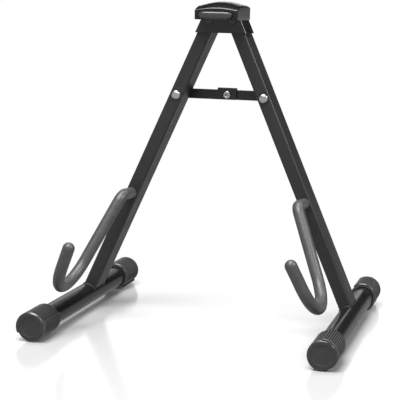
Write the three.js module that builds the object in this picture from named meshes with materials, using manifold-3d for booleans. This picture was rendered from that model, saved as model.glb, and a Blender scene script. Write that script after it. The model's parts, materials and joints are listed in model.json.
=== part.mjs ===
// Folding A-frame stand for an electric guitar. Millimetres, +Z up, front towards -Y.
// Origin: on the floor, under the middle of the stand's bounding box. Below, y = 0 is the plane of the
// legs, and the last lines move the whole stand so that the box's middle comes to the origin.
import * as THREE from 'three';
import { mergeVertices } from 'three/addons/utils/BufferGeometryUtils.js';
import Module from 'manifold-3d';

const wasm = await Module();
wasm.setup();

// ---------------------------------------------------------------- driving dimensions
const GAP = 0.3;                              // clearance kept between neighbouring pieces

const FOOT_HEIGHT = 16.9;                     // foot axis above the floor
const CAP_LOW_RADIUS = 15.6;                  // levelling end caps: the radius grows over half a turn
const CAP_HIGH_RADIUS = 17.6;                 // and then steps back
const CAP_LENGTH = 47;
const CAP_END_THICKNESS = 4;
const CAP_SEAT_WIDTH = 24;                    // degrees over which a cap is dressed to the floor
const CAP_SEAT_FLAT = 0.12;                   // depth of the flat strip that it stands on
const CAP_SEGMENTS = 24;                      // per half turn
const FOOT_RADIUS = 12.7;                     // 25.4 mm round steel tube
const FOOT_WALL = 1.2;
const FOOT_FRONT = -188.6;                    // end faces of the caps
const FOOT_REAR = 136.2;
const FOOT_HALF_SPACING = 160.3;

const LEG_SPLAY = THREE.MathUtils.degToRad(23.78);
const LEG_WIDTH = 15.5;                       // rectangular tube, across
const LEG_DEPTH = 35;                         // and front to back
const LEG_WALL = 1.5;
const LEG_CORNER = 2.5;
const PIVOT_ALONG = 363.9;                    // foot axis to head pivot, along the leg
const BRACE_ALONG = 268.6;                    // foot axis to brace rivet, along the leg

const BRACKET_BOTTOM = 335.3;
const BRACKET_TOP = 363.5;
const BRACKET_HALF_WIDTH = 30.5;              // at its lower edge
const BRACKET_DEPTH = 39.6;
const BRACKET_SHEET = 1.5;

const PAD_HALF_WIDTH = 25;
const PAD_BOTTOM = 350.2;
const PAD_TOP = 371.3;
const PAD_SHOULDER = 366;                     // top surface at the sides
const PAD_FRONT = -42;
const PAD_REAR = 19.6;                        // flush with the back of the bracket, which is left open
const BOLSTER_FRONT = -49;
const BOLSTER_BOTTOM = 351.1;
const BOLSTER_TOP = 359.3;
const BOLSTER_HALF_WIDTH = 20;

const RIVET_RADIUS = 3;
const RIVET_HEAD_RADIUS = 5.35;
const RIVET_HEAD_HEIGHT = 3;
const SPACER_RADIUS = 4.6;

const LINK_HEIGHT = 11.5;
const LINK_THICKNESS = 2.5;
const STOP_TAB_LENGTH = 23;
const STOP_TAB_THICKNESS = 2;
const CENTRE_RIVET_RADIUS = 2.8;
const CENTRE_HEAD_RADIUS = 4.6;

const HOOK_ROD_RADIUS = 4;
const HOOK_THREAD_RADIUS = 3;                  // turned-down end of the rod behind the leg
const HOOK_WASHER_RADIUS = 6;
const HOOK_NUT_RADIUS = 5.8;
const HOOK_SLEEVE_RADIUS = 6.7;
const HOOK_ALONG = 140;                       // foot axis to hook, along the leg
const HOOK_KNEE_FORWARD = -23;                // just off the leg the rod bends up a little
const HOOK_KNEE_RADIUS = 25;
const HOOK_ELBOW = [142.4, -55];               // where stub and run would meet, along the leg and in Y
const HOOK_ELBOW_RADIUS = 13;
const HOOK_APEX = [-50, -136];                // where run and prong would meet
const HOOK_TIP = [95.3, -174.3];              // centre of the round tip
const HOOK_BEND_RADIUS = 42;

// ---------------------------------------------------------------- worked-out positions
const LEG_FACE = LEG_DEPTH / 2;
const LEG_INNER_FACE = LEG_FACE - LEG_WALL;
const sinSplay = Math.sin(LEG_SPLAY);
const cosSplay = Math.cos(LEG_SPLAY);
const PIVOT_X = FOOT_HALF_SPACING - PIVOT_ALONG * sinSplay;
const PIVOT_Z = FOOT_HEIGHT + PIVOT_ALONG * cosSplay;
const BRACE_X = FOOT_HALF_SPACING - BRACE_ALONG * sinSplay;
const BRACE_Z = FOOT_HEIGHT + BRACE_ALONG * cosSplay;
const PLATE_A = LEG_FACE + GAP;               // front face of the left brace link
const PLATE_B = PLATE_A + LINK_THICKNESS + GAP; // front face of the right brace link, behind it
const PLATE_END = PLATE_B + LINK_THICKNESS;

// ---------------------------------------------------------------- materials
function finish(color, roughness, metalness = 0) {
  return new THREE.MeshStandardMaterial({ color, roughness, metalness });
}
const BLACK_STEEL = finish(0x1d1d1e, 0.38, 0.1);
const GLOSS_STEEL = finish(0x151516, 0.22, 0.1);
const BLACK_RUBBER = finish(0x232324, 0.8);
const GREY_FOAM = finish(0x4a4b4d, 0.7);
const BRIGHT_STEEL = finish(0xc8c9cb, 0.25, 1);
const NYLON = finish(0x2a2a2b, 0.6);

// ---------------------------------------------------------------- solids
function toSolid(geometry) {
  const plain = new THREE.BufferGeometry();
  const source = geometry.index ? geometry.toNonIndexed() : geometry;
  plain.setAttribute('position', source.getAttribute('position').clone());
  const merged = mergeVertices(plain, 1e-4);
  const vertProperties = new Float32Array(merged.getAttribute('position').array);
  const triVerts = new Uint32Array(merged.index.array);
  return new wasm.Manifold(new wasm.Mesh({ numProp: 3, vertProperties, triVerts }));
}

function toMesh(solid, name, material) {
  const { vertProperties, triVerts, numProp } = solid.getMesh();
  const corners = new Float32Array((vertProperties.length / numProp) * 3);
  for (let i = 0; i < corners.length / 3; i++) {
    for (let axis = 0; axis < 3; axis++) {
      corners[3 * i + axis] = vertProperties[numProp * i + axis];
    }
  }
  const geometry = new THREE.BufferGeometry();
  geometry.setAttribute('position', new THREE.BufferAttribute(corners, 3));
  geometry.setIndex(Array.from(triVerts));
  geometry.computeVertexNormals();
  const mesh = new THREE.Mesh(geometry, material);
  mesh.name = name;
  return mesh;
}

// A cylinder whose axis runs along Y, from y0 to y1.
function rodAlongY(radius, y0, y1, x = 0, z = 0, sides = 24) {
  const geometry = new THREE.CylinderGeometry(radius, radius, y1 - y0, sides);
  geometry.translate(x, (y0 + y1) / 2, z);
  return toSolid(geometry);
}

// An outline in XZ, given as a THREE.Shape in (x, z), extruded from y0 to y1.
function slabAlongY(shape, y0, y1, curveSegments = 6) {
  const depth = y1 - y0;
  const geometry = new THREE.ExtrudeGeometry(shape, { depth, bevelEnabled: false, curveSegments });
  geometry.rotateX(Math.PI / 2);
  geometry.translate(0, y1, 0);
  return toSolid(geometry);
}

function polygon(points) {
  return new THREE.Shape(points.map(([a, b]) => new THREE.Vector2(a, b)));
}

function roundedRectangle(halfWidth, halfHeight, corner) {
  const shape = new THREE.Shape();
  shape.moveTo(halfWidth - corner, -halfHeight);
  shape.absarc(halfWidth - corner, -halfHeight + corner, corner, -Math.PI / 2, 0);
  shape.absarc(halfWidth - corner, halfHeight - corner, corner, 0, Math.PI / 2);
  shape.absarc(-halfWidth + corner, halfHeight - corner, corner, Math.PI / 2, Math.PI);
  shape.absarc(-halfWidth + corner, -halfHeight + corner, corner, Math.PI, 1.5 * Math.PI);
  shape.closePath();
  return shape;
}

// A shallow dome on a short shank face, pointing along -Y when direction is -1.
function rivetHead(radius, height, y, direction, x = 0, z = 0) {
  const profile = [
    new THREE.Vector2(0, 0),
    new THREE.Vector2(radius, 0),
    new THREE.Vector2(radius, 0.25 * height),
    new THREE.Vector2(0.85 * radius, 0.62 * height),
    new THREE.Vector2(0.55 * radius, 0.9 * height),
    new THREE.Vector2(0, height),
  ];
  const geometry = new THREE.LatheGeometry(profile, 24);
  if (direction < 0) geometry.rotateX(Math.PI);
  geometry.translate(x, y, z);
  return toSolid(geometry);
}

function ring(outer, inner, y0, y1, sides = 24) {
  return rodAlongY(outer, y0, y1, 0, 0, sides).subtract(rodAlongY(inner, y0 - 1, y1 + 1));
}

// ---------------------------------------------------------------- head: bracket, pad, fasteners
function trapezoid(inset, zLow, zHigh) {
  const lean = Math.tan(LEG_SPLAY);
  const side = (z) => BRACKET_HALF_WIDTH - (z - BRACKET_BOTTOM) * lean - inset / cosSplay;
  return polygon([[-side(zLow), zLow], [side(zLow), zLow], [side(zHigh), zHigh], [-side(zHigh), zHigh]]);
}

function topBracket() {
  const half = BRACKET_DEPTH / 2;
  const shell = slabAlongY(trapezoid(0, BRACKET_BOTTOM, BRACKET_TOP), -half, half);
  const room = slabAlongY(
    trapezoid(BRACKET_SHEET, BRACKET_BOTTOM - 5, BRACKET_TOP - BRACKET_SHEET),
    -half + BRACKET_SHEET,
    half - BRACKET_SHEET,
  );
  let bracket = shell.subtract(room);
  for (const side of [-1, 1]) {
    bracket = bracket.subtract(rodAlongY(RIVET_RADIUS + GAP, -half - 2, half + 2, side * PIVOT_X, PIVOT_Z));
  }
  for (const y of PAD_SCREW_Y) {
    bracket = bracket.subtract(uprightRod(2 + GAP, BRACKET_TOP - 5, BRACKET_TOP + 5, y));
  }
  return toMesh(bracket, 'top_bracket', BLACK_STEEL);
}

const PAD_SCREW_Y = [-11, 11];

function uprightRod(radius, z0, z1, y, sides = 16) {
  const geometry = new THREE.CylinderGeometry(radius, radius, z1 - z0, sides);
  geometry.rotateX(Math.PI / 2);
  geometry.translate(0, y, (z0 + z1) / 2);
  return toSolid(geometry);
}

function headPad() {
  // Seen from the side: upright front, sloping nose, gently arched top, upright back.
  const side = new THREE.Shape();
  side.moveTo(PAD_FRONT, PAD_BOTTOM);
  side.lineTo(PAD_REAR, PAD_BOTTOM);
  side.lineTo(PAD_REAR, PAD_TOP - 3);
  side.quadraticCurveTo(-8, PAD_TOP + 2.6, -31, PAD_TOP - 2.4);
  side.lineTo(PAD_FRONT, PAD_BOTTOM + 11.3);
  side.closePath();
  const width = 2 * PAD_HALF_WIDTH;
  const sideGeometry = new THREE.ExtrudeGeometry(side, { depth: width, bevelEnabled: false, curveSegments: 6 });
  // shape (x, y) to world (y, z), depth to x
  sideGeometry.rotateX(Math.PI / 2);
  sideGeometry.rotateZ(Math.PI / 2);
  sideGeometry.translate(-PAD_HALF_WIDTH, 0, 0);
  // Seen from the front: crowned across its width.
  const front = new THREE.Shape();
  front.moveTo(-PAD_HALF_WIDTH, PAD_BOTTOM - 1);
  front.lineTo(PAD_HALF_WIDTH, PAD_BOTTOM - 1);
  front.lineTo(PAD_HALF_WIDTH, PAD_SHOULDER);
  front.quadraticCurveTo(0, 2 * PAD_TOP - PAD_SHOULDER, -PAD_HALF_WIDTH, PAD_SHOULDER);
  front.closePath();
  const half = BRACKET_DEPTH / 2 + GAP;
  let pad = toSolid(sideGeometry).intersect(slabAlongY(front, PAD_FRONT - 1, PAD_REAR + 1, 8));
  pad = pad.subtract(slabAlongY(trapezoid(-GAP, PAD_BOTTOM - 5, BRACKET_TOP + GAP), -half, half));
  for (const side of [-1, 1]) {
    const pocket = -half - RIVET_HEAD_HEIGHT - GAP;
    pad = pad.subtract(rodAlongY(RIVET_HEAD_RADIUS + GAP, pocket, 0, side * PIVOT_X, PIVOT_Z));
  }
  for (const y of PAD_SCREW_Y) {
    pad = pad.subtract(uprightRod(2 + GAP, BRACKET_TOP - 3, BRACKET_TOP + 4.5, y));
  }
  return toMesh(pad, 'head_pad', BLACK_RUBBER);
}

function padBolster() {
  const outline = new THREE.Shape();
  const w = BOLSTER_HALF_WIDTH;
  outline.moveTo(-w + 5, BOLSTER_BOTTOM);
  outline.lineTo(w - 5, BOLSTER_BOTTOM);
  outline.quadraticCurveTo(w - 2.5, BOLSTER_BOTTOM, w - 1, BOLSTER_TOP - 4);
  outline.quadraticCurveTo(w, BOLSTER_TOP, w - 3, BOLSTER_TOP);
  outline.lineTo(-w + 3, BOLSTER_TOP);
  outline.quadraticCurveTo(-w, BOLSTER_TOP, -w + 1, BOLSTER_TOP - 4);
  outline.quadraticCurveTo(-w + 2.5, BOLSTER_BOTTOM, -w + 5, BOLSTER_BOTTOM);
  return toMesh(slabAlongY(outline, BOLSTER_FRONT, PAD_FRONT - GAP, 4), 'pad_bolster', BLACK_RUBBER);
}

function padScrew(y, name) {
  const seat = BRACKET_TOP - BRACKET_SHEET - GAP;
  const screw = uprightRod(2, seat - 1, BRACKET_TOP + 4, y).add(uprightRod(3.4, seat - 2, seat, y));
  return toMesh(screw, name, BRIGHT_STEEL);
}

function pivotRivet(side, name) {
  const seat = BRACKET_DEPTH / 2 + GAP;
  const shank = rodAlongY(RIVET_RADIUS, -seat - 1, seat + 5.6);
  const rivet = shank.add(rivetHead(RIVET_HEAD_RADIUS, RIVET_HEAD_HEIGHT, -seat, -1));
  const mesh = toMesh(rivet, name, BLACK_STEEL);
  mesh.position.set(side * PIVOT_X, 0, PIVOT_Z);
  return mesh;
}

function pivotNut(side, name) {
  const seat = BRACKET_DEPTH / 2 + GAP;
  const mesh = toMesh(ring(5.8, RIVET_RADIUS + GAP, seat, seat + 4.6, 6), name, BLACK_STEEL);
  mesh.position.set(side * PIVOT_X, 0, PIVOT_Z);
  return mesh;
}

// ---------------------------------------------------------------- leg, in its own frame:
// x across, y front to back, z along the leg from the foot's axis
function legTube(name) {
  const length = PIVOT_ALONG + LEG_WIDTH;
  const outline = roundedRectangle(LEG_WIDTH / 2, LEG_FACE, LEG_CORNER);
  const bore = roundedRectangle(LEG_WIDTH / 2 - LEG_WALL, LEG_INNER_FACE, LEG_CORNER - LEG_WALL);
  const settings = { depth: length, bevelEnabled: false, curveSegments: 3 };
  let tube = toSolid(new THREE.ExtrudeGeometry(outline, settings));
  const core = new THREE.ExtrudeGeometry(bore, { ...settings, depth: length + 4 });
  core.translate(0, 0, -2);
  tube = tube.subtract(toSolid(core));
  tube = tube.subtract(rodAlongY(FOOT_RADIUS + GAP, -LEG_DEPTH, LEG_DEPTH));
  // The top end is round about the pivot, so that the leg swings freely inside the bracket.
  const top = new THREE.BoxGeometry(LEG_WIDTH + 2, 2 * LEG_DEPTH + 2, LEG_WIDTH);
  top.translate(0, 0, PIVOT_ALONG + LEG_WIDTH / 2);
  const round = rodAlongY(LEG_WIDTH / 2, -LEG_DEPTH - 2, LEG_DEPTH + 2, 0, PIVOT_ALONG);
  tube = tube.subtract(toSolid(top).subtract(round));
  for (const along of [PIVOT_ALONG, BRACE_ALONG]) {
    tube = tube.subtract(rodAlongY(RIVET_RADIUS + GAP, -LEG_DEPTH, LEG_DEPTH, 0, along));
  }
  tube = tube.subtract(rodAlongY(HOOK_ROD_RADIUS + GAP, -LEG_DEPTH, LEG_DEPTH, 0, HOOK_ALONG));
  return toMesh(tube, name, BLACK_STEEL);
}

// Steel sleeve round a rivet inside the hollow leg, which stops the tube being crushed.
function rivetSpacer(along, name) {
  const reach = LEG_INNER_FACE - GAP;
  const mesh = toMesh(ring(SPACER_RADIUS, RIVET_RADIUS + GAP, -reach, reach, 16), name, BRIGHT_STEEL);
  mesh.position.z = along;
  return mesh;
}

// The left brace rivet carries the left link. On the right the shank ends flush with the leg,
// because that pivot is where the linkage is opened.
function braceRivet(side, name) {
  const head = rivetHead(RIVET_HEAD_RADIUS, RIVET_HEAD_HEIGHT, -LEG_FACE - GAP, -1);
  const carriesLink = side < 0;
  const end = carriesLink ? PLATE_A + LINK_THICKNESS + GAP + 1 : LEG_FACE;
  let rivet = rodAlongY(RIVET_RADIUS, -LEG_FACE - 1, end).add(head);
  if (carriesLink) {
    rivet = rivet.add(rivetHead(RIVET_HEAD_RADIUS, 2.4, PLATE_A + LINK_THICKNESS + GAP, 1));
  }
  const mesh = toMesh(rivet, name, BRIGHT_STEEL);
  mesh.position.z = BRACE_ALONG;
  return mesh;
}

// ---------------------------------------------------------------- hook
// Round corner of a given radius between two straight stretches, as points.
function roundCorner(before, corner, after, radius, steps) {
  const toBefore = before.clone().sub(corner).normalize();
  const toAfter = after.clone().sub(corner).normalize();
  const halfAngle = toBefore.angleTo(toAfter) / 2;
  const middle = toBefore.clone().add(toAfter).normalize();
  const centre = corner.clone().addScaledVector(middle, radius / Math.sin(halfAngle));
  const start = corner.clone().addScaledVector(toBefore, radius / Math.tan(halfAngle)).sub(centre);
  const end = corner.clone().addScaledVector(toAfter, radius / Math.tan(halfAngle)).sub(centre);
  const sweep = start.angleTo(end);
  const points = [];
  for (let i = 0; i <= steps; i++) {
    const a = Math.sin((1 - i / steps) * sweep) / Math.sin(sweep);
    const b = Math.sin((i / steps) * sweep) / Math.sin(sweep);
    points.push(centre.clone().addScaledVector(start, a).addScaledVector(end, b));
  }
  return points;
}

// A curve through listed points, one extrusion step per stretch, so that only bends are dense.
class RoutedCurve extends THREE.Curve {
  constructor(points) {
    super();
    this.points = points;
  }
  getPoint(t) {
    const at = Math.min(Math.max(t, 0), 1) * (this.points.length - 1);
    const index = Math.min(Math.floor(at), this.points.length - 2);
    return this.points[index].clone().lerp(this.points[index + 1], at - index);
  }
  getPointAt(t) {
    return this.getPoint(t);
  }
  getTangentAt(t) {
    return this.getTangent(t);
  }
}

function hookRoute(startY, shortOfTip) {
  const at = ([along, y]) => new THREE.Vector3(0, y, along);
  const start = at([HOOK_ALONG, startY]);
  const knee = at([HOOK_ALONG, HOOK_KNEE_FORWARD]);
  const elbow = at(HOOK_ELBOW);
  const apex = at(HOOK_APEX);
  const tip = at(HOOK_TIP);
  tip.addScaledVector(apex.clone().sub(tip).normalize(), shortOfTip);
  return [
    start,
    ...roundCorner(start, knee, elbow, HOOK_KNEE_RADIUS, 2),
    ...roundCorner(knee, elbow, apex, HOOK_ELBOW_RADIUS, 5),
    ...roundCorner(elbow, apex, tip, HOOK_BEND_RADIUS, 12),
    tip,
  ];
}

function sweep(route, radius, sides) {
  const section = new THREE.Shape();
  for (let i = 0; i < sides; i++) {
    const angle = (2 * Math.PI * i) / sides;
    const method = i === 0 ? 'moveTo' : 'lineTo';
    section[method](radius * Math.cos(angle), radius * Math.sin(angle));
  }
  section.closePath();
  const extrudePath = new RoutedCurve(route);
  const settings = { steps: route.length - 1, extrudePath, bevelEnabled: false };
  return toSolid(new THREE.ExtrudeGeometry(section, settings));
}

function hookRod(name) {
  const bar = sweep(hookRoute(LEG_FACE, 2), HOOK_ROD_RADIUS, 12);
  const thread = rodAlongY(HOOK_THREAD_RADIUS, LEG_FACE - 1, LEG_FACE + 8.5, 0, HOOK_ALONG);
  return toMesh(bar.add(thread), name, BLACK_STEEL);
}

function hookSleeve(name) {
  const tip = new THREE.SphereGeometry(HOOK_SLEEVE_RADIUS, 16, 10);
  tip.translate(0, HOOK_TIP[1], HOOK_TIP[0]);
  const outside = sweep(hookRoute(-LEG_FACE - GAP, 0), HOOK_SLEEVE_RADIUS, 16).add(toSolid(tip));
  const inside = sweep(hookRoute(LEG_FACE, 1), HOOK_ROD_RADIUS + GAP, 12);
  return toMesh(outside.subtract(inside), name, GREY_FOAM);
}

function hookWasher(name) {
  const seat = LEG_FACE + GAP;
  const solid = ring(HOOK_WASHER_RADIUS, HOOK_THREAD_RADIUS + GAP, seat, seat + 1.5);
  const mesh = toMesh(solid, name, NYLON);
  mesh.position.z = HOOK_ALONG;
  return mesh;
}

function hookNut(name) {
  const seat = LEG_FACE + 2 * GAP + 1.5;
  const solid = ring(HOOK_NUT_RADIUS, HOOK_THREAD_RADIUS + GAP, seat, seat + 5, 6);
  const mesh = toMesh(solid, name, BLACK_STEEL);
  mesh.position.z = HOOK_ALONG;
  return mesh;
}

// ---------------------------------------------------------------- foot
function footTube(name) {
  const front = FOOT_FRONT + CAP_END_THICKNESS + GAP;
  const rear = FOOT_REAR - CAP_END_THICKNESS - GAP;
  return toMesh(ring(FOOT_RADIUS, FOOT_RADIUS - FOOT_WALL, front, rear, 32), name, GLOSS_STEEL);
}

// Rubber cap whose radius grows round each half turn and then steps back, so that turning it sets the
// height of that corner. Where it stands, it is dressed to the floor.
function endCap(y0, y1, openEnd, stepAngle, name) {
  const growth = (CAP_HIGH_RADIUS - CAP_LOW_RADIUS) / 180;
  const lowest = CAP_LOW_RADIUS + growth * ((270 - stepAngle + 360) % 180);
  const seat = FOOT_HEIGHT + CAP_SEAT_FLAT - lowest;
  const corners = [];
  for (const half of [0, 180]) {
    for (let i = 0; i <= CAP_SEGMENTS; i++) {
      const pastStep = (180 * i) / CAP_SEGMENTS;
      const degrees = stepAngle + half + pastStep;
      const fromSeat = ((degrees - 270 + 540) % 360) - 180;
      const radius = CAP_LOW_RADIUS + growth * pastStep + seat * Math.exp(-((fromSeat / CAP_SEAT_WIDTH) ** 2));
      const angle = THREE.MathUtils.degToRad(degrees);
      corners.push([radius * Math.cos(angle), radius * Math.sin(angle)]);
    }
  }
  const floorFlat = polygon([[-20, -FOOT_HEIGHT], [20, -FOOT_HEIGHT], [20, 20], [-20, 20]]);
  const body = slabAlongY(polygon(corners), y0, y1).intersect(slabAlongY(floorFlat, y0 - 1, y1 + 1));
  const bore = openEnd > 0
    ? rodAlongY(FOOT_RADIUS + GAP, y0 + CAP_END_THICKNESS, y1 + 1, 0, 0, 32)
    : rodAlongY(FOOT_RADIUS + GAP, y0 - 1, y1 - CAP_END_THICKNESS, 0, 0, 32);
  return toMesh(body.subtract(bore), name, BLACK_RUBBER);
}

// ---------------------------------------------------------------- brace
function linkPlate(xLeft, xRight, y, holes) {
  const half = LINK_HEIGHT / 2;
  const outline = roundedRectangle((xRight - xLeft) / 2, half, half - 0.4);
  let plate = slabAlongY(outline, y, y + LINK_THICKNESS).translate([(xLeft + xRight) / 2, 0, 0]);
  for (const [x, radius] of holes) {
    plate = plate.subtract(rodAlongY(radius + GAP, y - 1, y + LINK_THICKNESS + 1, x));
  }
  return plate;
}

// The left link carries the stop tab, which lies over both links and holds them straight.
function leftLink() {
  const end = LINK_HEIGHT / 2;
  const holes = [[-BRACE_X, RIVET_RADIUS], [0, CENTRE_RIVET_RADIUS]];
  const half = STOP_TAB_LENGTH / 2;
  const under = LINK_HEIGHT / 2 + GAP;
  const tab = polygon([[-half, under], [half, under], [half, under + STOP_TAB_THICKNESS],
    [-half, under + STOP_TAB_THICKNESS]]);
  const webTop = under + 0.5;
  const web = polygon([[-half, -end], [half - 2, -end], [half, 2 - end], [half, webTop], [-half, webTop]]);
  let link = linkPlate(-BRACE_X - end, 6, PLATE_A, holes);
  const bore = rodAlongY(CENTRE_RIVET_RADIUS + GAP, PLATE_A - 1, PLATE_A + LINK_THICKNESS + 1);
  link = link.add(slabAlongY(web, PLATE_A, PLATE_A + LINK_THICKNESS).subtract(bore));
  link = link.add(slabAlongY(tab, PLATE_A, PLATE_END));
  const mesh = toMesh(link, 'left_brace_link', BLACK_STEEL);
  mesh.position.z = BRACE_Z;
  return mesh;
}

function rightLink() {
  const end = LINK_HEIGHT / 2;
  const holes = [[BRACE_X, RIVET_RADIUS], [0, CENTRE_RIVET_RADIUS]];
  const mesh = toMesh(linkPlate(-end, BRACE_X + end, PLATE_B, holes), 'right_brace_link', BLACK_STEEL);
  mesh.position.z = BRACE_Z;
  return mesh;
}

// Rear half of the right brace rivet: it rides on the link, and stops short of the leg.
function rightRivetTail() {
  const tail = rodAlongY(RIVET_RADIUS, PLATE_A + 0.2, PLATE_END + GAP + 1);
  const mesh = toMesh(tail.add(rivetHead(RIVET_HEAD_RADIUS, 2.4, PLATE_END + GAP, 1)), 'right_brace_rivet_tail',
    BRIGHT_STEEL);
  mesh.position.set(BRACE_X, 0, BRACE_Z);
  return mesh;
}

function rightLinkWasher() {
  const washer = ring(6, RIVET_RADIUS + GAP, PLATE_A + 0.2, PLATE_B - GAP);
  const mesh = toMesh(washer, 'right_brace_washer', NYLON);
  mesh.position.set(BRACE_X, 0, BRACE_Z);
  return mesh;
}

// Tubular rivet: its open end shows as a ring on the front of the brace.
function centreRivet() {
  const front = PLATE_A - GAP;
  let rivet = rodAlongY(CENTRE_RIVET_RADIUS, front - 1, PLATE_END + GAP + 1);
  rivet = rivet.add(rodAlongY(CENTRE_HEAD_RADIUS, front - 1.6, front));
  rivet = rivet.add(rivetHead(CENTRE_HEAD_RADIUS, 1.8, PLATE_END + GAP, 1));
  rivet = rivet.subtract(rodAlongY(1.7, front - 3, front + 3, 0, 0, 16));
  const mesh = toMesh(rivet, 'brace_centre_rivet', BRIGHT_STEEL);
  mesh.position.z = BRACE_Z;
  return mesh;
}

// ---------------------------------------------------------------- assembly
const stand = new THREE.Group();
stand.position.y = -(FOOT_FRONT + FOOT_REAR) / 2;

stand.add(topBracket(), headPad(), padBolster());
stand.add(padScrew(PAD_SCREW_Y[0], 'pad_screw_front'), padScrew(PAD_SCREW_Y[1], 'pad_screw_rear'));

// Angle of each cap's first step.
const CAP_STEP_ANGLES = {
  left_front: 208,
  right_front: 274,
  left_rear: 312,
  right_rear: 312,
};

for (const [side, word] of [[-1, 'left'], [1, 'right']]) {
  stand.add(pivotRivet(side, `${word}_pivot_rivet`), pivotNut(side, `${word}_pivot_nut`));

  const leg = new THREE.Group();
  leg.position.set(side * FOOT_HALF_SPACING, 0, FOOT_HEIGHT);
  leg.rotation.y = -side * LEG_SPLAY;
  leg.add(legTube(`${word}_leg_tube`));
  leg.add(rivetSpacer(PIVOT_ALONG, `${word}_pivot_spacer`));
  leg.add(rivetSpacer(BRACE_ALONG, `${word}_brace_spacer`));
  leg.add(braceRivet(side, `${word}_brace_rivet`));
  leg.add(hookRod(`${word}_hook_rod`));
  leg.add(hookSleeve(`${word}_hook_sleeve`));
  leg.add(hookWasher(`${word}_hook_washer`));
  leg.add(hookNut(`${word}_hook_nut`));
  stand.add(leg);

  const foot = new THREE.Group();
  foot.position.set(side * FOOT_HALF_SPACING, 0, FOOT_HEIGHT);
  foot.add(footTube(`${word}_foot_tube`));
  const frontAngle = CAP_STEP_ANGLES[`${word}_front`];
  const rearAngle = CAP_STEP_ANGLES[`${word}_rear`];
  foot.add(endCap(FOOT_FRONT, FOOT_FRONT + CAP_LENGTH, 1, frontAngle, `${word}_front_cap`));
  foot.add(endCap(FOOT_REAR - CAP_LENGTH, FOOT_REAR, -1, rearAngle, `${word}_rear_cap`));
  stand.add(foot);
}

stand.add(leftLink(), rightLink(), rightRivetTail(), rightLinkWasher(), centreRivet());

const wholeStand = new THREE.Group();
wholeStand.add(stand);

export default wholeStand;
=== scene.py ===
"""Looks of the folding guitar stand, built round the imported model.

Sizes are in millimetres, and MM takes them to metres. The lights and the fading of the floor are in metres.
"""
import json
import math

import bmesh
import bpy
from mathutils import Matrix, Vector


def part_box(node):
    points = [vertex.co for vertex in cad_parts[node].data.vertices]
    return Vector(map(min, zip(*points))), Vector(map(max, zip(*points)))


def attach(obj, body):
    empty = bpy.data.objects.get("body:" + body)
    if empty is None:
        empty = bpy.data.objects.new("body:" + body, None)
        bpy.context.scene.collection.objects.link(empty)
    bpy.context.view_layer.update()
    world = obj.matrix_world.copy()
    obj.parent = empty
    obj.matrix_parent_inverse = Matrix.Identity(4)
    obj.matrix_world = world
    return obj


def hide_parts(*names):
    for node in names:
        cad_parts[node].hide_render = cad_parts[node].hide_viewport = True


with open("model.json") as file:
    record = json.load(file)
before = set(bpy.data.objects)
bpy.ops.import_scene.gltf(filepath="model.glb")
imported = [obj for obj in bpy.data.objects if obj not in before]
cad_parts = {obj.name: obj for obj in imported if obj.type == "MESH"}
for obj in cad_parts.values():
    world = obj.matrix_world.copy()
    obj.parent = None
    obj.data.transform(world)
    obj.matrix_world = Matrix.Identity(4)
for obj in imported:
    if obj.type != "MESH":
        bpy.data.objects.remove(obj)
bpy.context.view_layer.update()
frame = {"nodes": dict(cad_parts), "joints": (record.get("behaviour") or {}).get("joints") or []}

MM = 0.001
JOINTS = {joint["name"]: joint for joint in frame["joints"]}
SIDES = ((-1, "left"), (1, "right"))


def joint_mm(name):
    return Vector(JOINTS[name]["pos_m"]) / MM


def box_mm(node):
    low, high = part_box(node)
    return Vector(low) / MM, Vector(high) / MM


# ------------------------------------------------------------------ places, all from the frame
PIVOT = joint_mm("right_leg_fold")
FOOT = joint_mm("right_front_cap_turn")
PLANE_Y = PIVOT.y                              # the plane that both legs lie in
FOOT_X, FOOT_Z = FOOT.x, FOOT.z
SPLAY = math.atan2(FOOT_X - PIVOT.x, PIVOT.z - FOOT_Z)
PIVOT_ALONG = math.hypot(FOOT_X - PIVOT.x, PIVOT.z - FOOT_Z)
BRACE_X = -joint_mm("left_link_fold").x
BRACE_Z = joint_mm("left_link_fold").z
BRACE_ALONG = (FOOT_X - BRACE_X) / math.sin(SPLAY)
LEG_FACE = (box_mm("left_leg_tube")[1].y - box_mm("left_leg_tube")[0].y) / 2

# ------------------------------------------------------------------ sizes that several pieces share
GAP = 0.3                                      # air between two parts that face each other
RIVET_HEAD = 5.35                              # radius
RIVET_DOME = 3.0                               # height of the heads
TAIL_DOME = 2.4                                # height of the tails
RIVET_SHANK = 3.0                              # radius
HOLE = RIVET_SHANK + GAP
NUT_RADIUS = 5.8
WASHER_RADIUS = 6.0
ROD_RADIUS = 4.0
ROD_HOLE = ROD_RADIUS + GAP
HOOK_ALONG = 140.0                             # the hook's place along the leg, from the foot's axis
DRILL_SIDES = 40

# ------------------------------------------------------------------ mesh helpers


def finish_mesh(name, mesh, material, body, nodes=(), smooth=35.0):
    """Makes the object, gives it its finish and sets it riding on its body."""
    mesh.validate()
    mesh.update()
    mesh.shade_smooth()
    mesh.set_sharp_from_angle(angle=math.radians(smooth))
    piece = bpy.data.objects.new(name, mesh)
    bpy.context.scene.collection.objects.link(piece)
    mesh.materials.clear()
    mesh.materials.append(material)
    normals = piece.modifiers.new("flat_faces", "WEIGHTED_NORMAL")
    normals.keep_sharp = True
    normals.weight = 80
    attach(piece, body)
    if nodes:
        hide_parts(*nodes)
    return piece


def mesh_from(points, faces, matrix=None):
    """A mesh from points in mm; matrix takes them to the stand's frame, still in mm."""
    mesh = bpy.data.meshes.new("part")
    if matrix is not None:
        points = [matrix @ Vector(p) for p in points]
    mesh.from_pydata([Vector(p) * MM for p in points], [], faces)
    work = bmesh.new()
    work.from_mesh(mesh)
    bmesh.ops.recalc_face_normals(work, faces=work.faces)
    work.to_mesh(mesh)
    work.free()
    return mesh


def turn(count):
    """Angles of count points evenly round a circle."""
    return [2 * math.pi * j / count for j in range(count)]


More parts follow.
